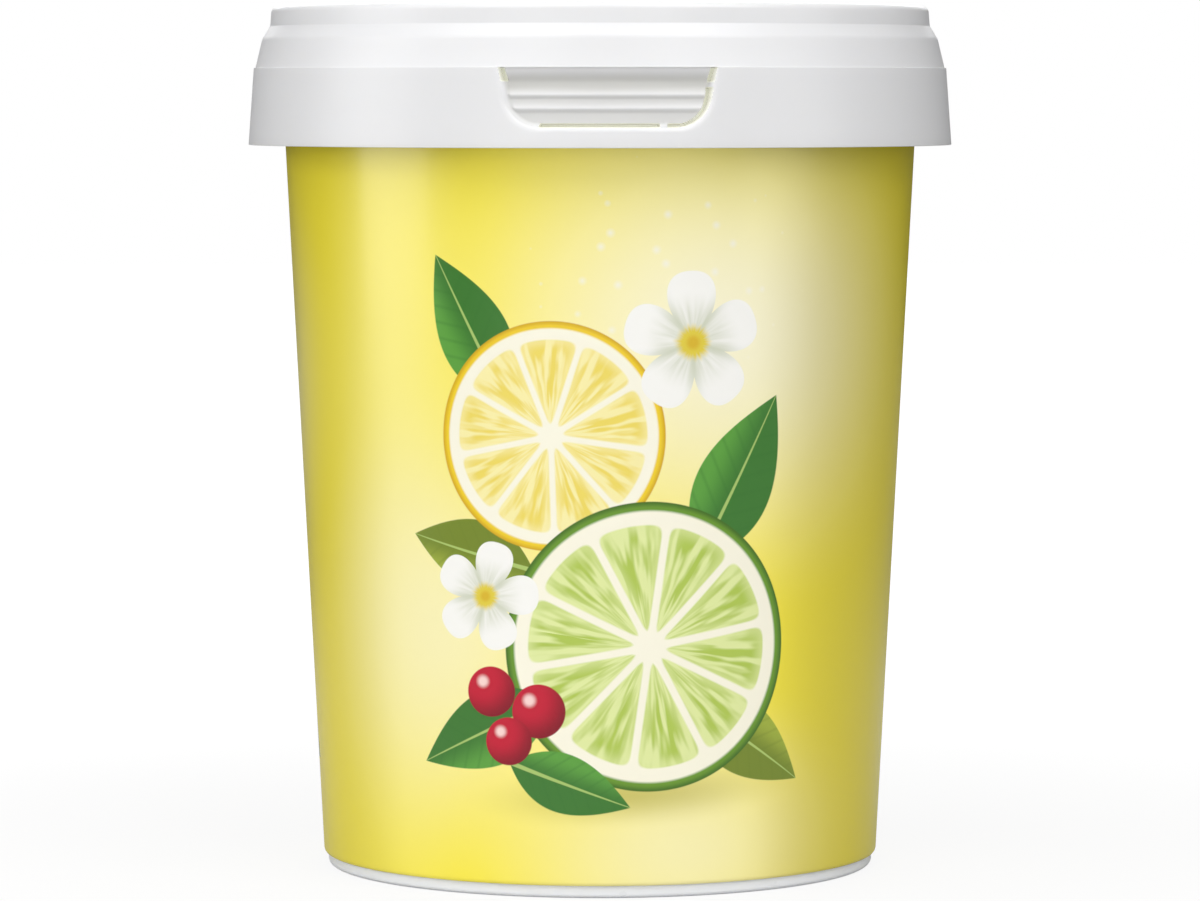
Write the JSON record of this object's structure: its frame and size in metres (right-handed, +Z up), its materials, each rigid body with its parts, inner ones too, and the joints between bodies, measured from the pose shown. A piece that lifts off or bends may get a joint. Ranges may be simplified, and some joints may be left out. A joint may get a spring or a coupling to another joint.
{
  "type": "sorbet tub",
  "caption": "Shut round plastic tub of sorbet, tapering to its foot, with a printed yellow wrap label and a white press-on lid with a tear-open tab.",
  "frame": {"origin": "centre of the foot ring, on the surface the tub stands on", "axes": "+Z up along the tub's axis, -Y towards the tear-open tab and the front of the print, +X to the right of it"},
  "size_m": [0.118, 0.118, 0.1442],
  "materials": {
    "tub": "white polypropylene, semi-gloss",
    "label": "lemon yellow printed film, semi-gloss",
    "lid": "white polypropylene, satin to semi-gloss"
  },
  "bodies": {
    "root": {"tub": "tub", "label": "label", "lid": "lid"}
  },
  "joints": []
}
